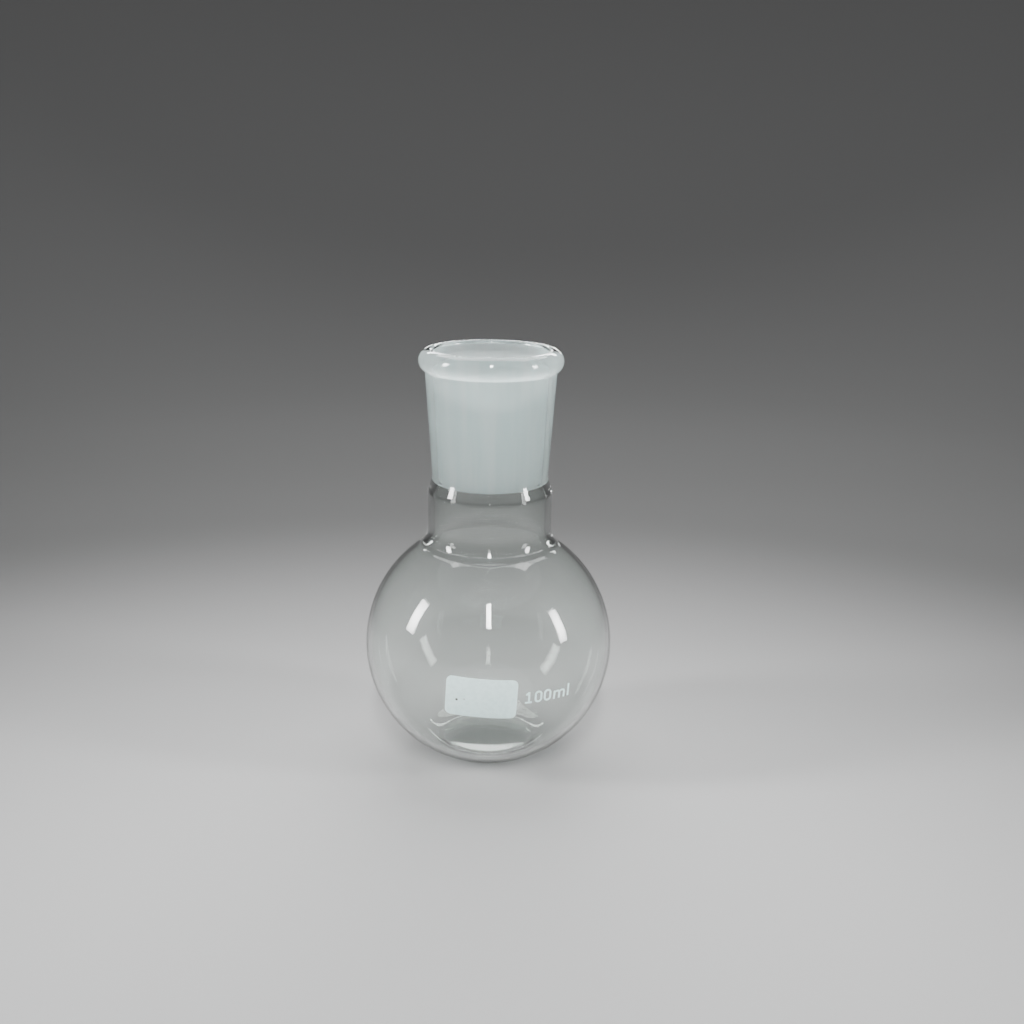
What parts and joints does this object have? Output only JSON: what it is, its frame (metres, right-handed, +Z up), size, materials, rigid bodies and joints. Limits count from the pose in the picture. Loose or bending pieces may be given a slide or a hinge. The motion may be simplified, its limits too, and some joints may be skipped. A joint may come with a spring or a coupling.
{
  "type": "boiling flask",
  "caption": "Clear round-bodied laboratory flask on a small flat base, with a short neck, a ground conical socket, a beaded mouth and a white marking patch.",
  "frame": {"origin": "centre of the flat base, on the flask's axis", "axes": "+Z up the flask's axis, out of the mouth; -Y towards the marking patch; +X to the right seen from the patch"},
  "size_m": [0.064, 0.0641, 0.1066],
  "materials": {
    "clear_glass": "clear blown borosilicate, the socket ground matt inside",
    "white_enamel": "fired white enamel, satin gloss"
  },
  "bodies": {
    "root": {"flask": "clear_glass", "marking_patch": "white_enamel"}
  },
  "joints": []
}
